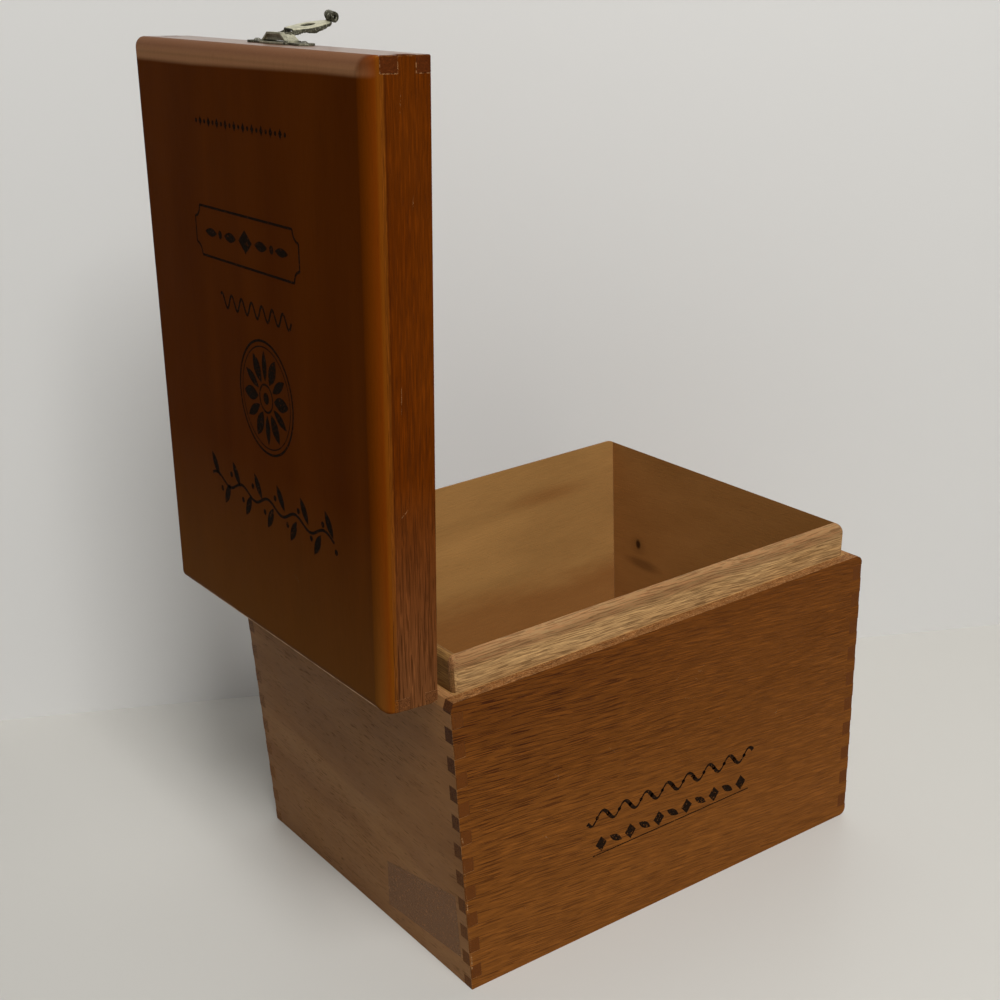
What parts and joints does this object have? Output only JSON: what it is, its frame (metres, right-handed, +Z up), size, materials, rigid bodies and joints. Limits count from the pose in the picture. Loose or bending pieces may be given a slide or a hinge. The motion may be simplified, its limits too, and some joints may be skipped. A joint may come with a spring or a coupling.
{
  "type": "hinged lidded wooden box",
  "caption": "Deep finger-jointed wooden box with a rounded inner lip, a hinged lid that stands open past its hinges, and a small lever clasp.",
  "frame": {"origin": "middle of the box's underside", "axes": "+Z up, X along the hinge, -Y towards the clasp side, +Y towards the hinge side"},
  "size_m": [0.15, 0.2161, 0.312],
  "materials": {
    "carcass_wood": "reddish-brown stain over open-pored hardwood, satin",
    "end_wood": "orange-brown stain, satin",
    "liner_wood": "thin reddish boards, waxed, semi-matt",
    "raw_wood": "unstained hardwood, matt",
    "lid_rail_wood": "orange-brown stain, satin",
    "lid_top_wood": "dark brown stain, glossy",
    "clasp_metal": "tarnished nickel plate over brass sheet",
    "hinge_brass": "aged brass sheet",
    "pin_steel": "drawn wire"
  },
  "bodies": {
    "carcass": {"front_panel": "carcass_wood", "back_panel": "carcass_wood", "left_end_panel": "end_wood", "right_end_panel": "end_wood", "bottom_panel": "raw_wood", "front_liner": "liner_wood", "back_liner": "liner_wood", "left_liner": "liner_wood", "right_liner": "liner_wood", "left_hinge_body_leaf": "hinge_brass", "right_hinge_body_leaf": "hinge_brass", "left_hinge_pin": "pin_steel", "right_hinge_pin": "pin_steel", "hinge_body_nails": "pin_steel", "catch_plate": "clasp_metal", "catch_plate_nails": "clasp_metal"},
    "lid": {"lid_top_panel": "lid_top_wood", "lid_front_rail": "lid_rail_wood", "lid_back_rail": "lid_rail_wood", "lid_left_rail": "lid_rail_wood", "lid_right_rail": "lid_rail_wood", "left_hinge_lid_leaf": "hinge_brass", "right_hinge_lid_leaf": "hinge_brass", "hinge_lid_nails": "pin_steel", "clasp_plate": "clasp_metal", "clasp_pin": "pin_steel", "clasp_plate_nails": "clasp_metal"},
    "lever": {"clasp_lever": "clasp_metal"}
  },
  "joints": [
    {"name": "lid_hinge", "type": "hinge", "parent": "carcass", "child": "lid", "pos_m": [0, 0.097, 0.1138], "axis": [1, 0, 0], "range_deg": [0, 85.7]},
    {"name": "clasp_lever_pivot", "type": "hinge", "parent": "lid", "child": "lever", "pos_m": [0, 0.08744, 0.30632], "axis": [-1, 0, 0], "range_deg": [-8, 80]}
  ]
}
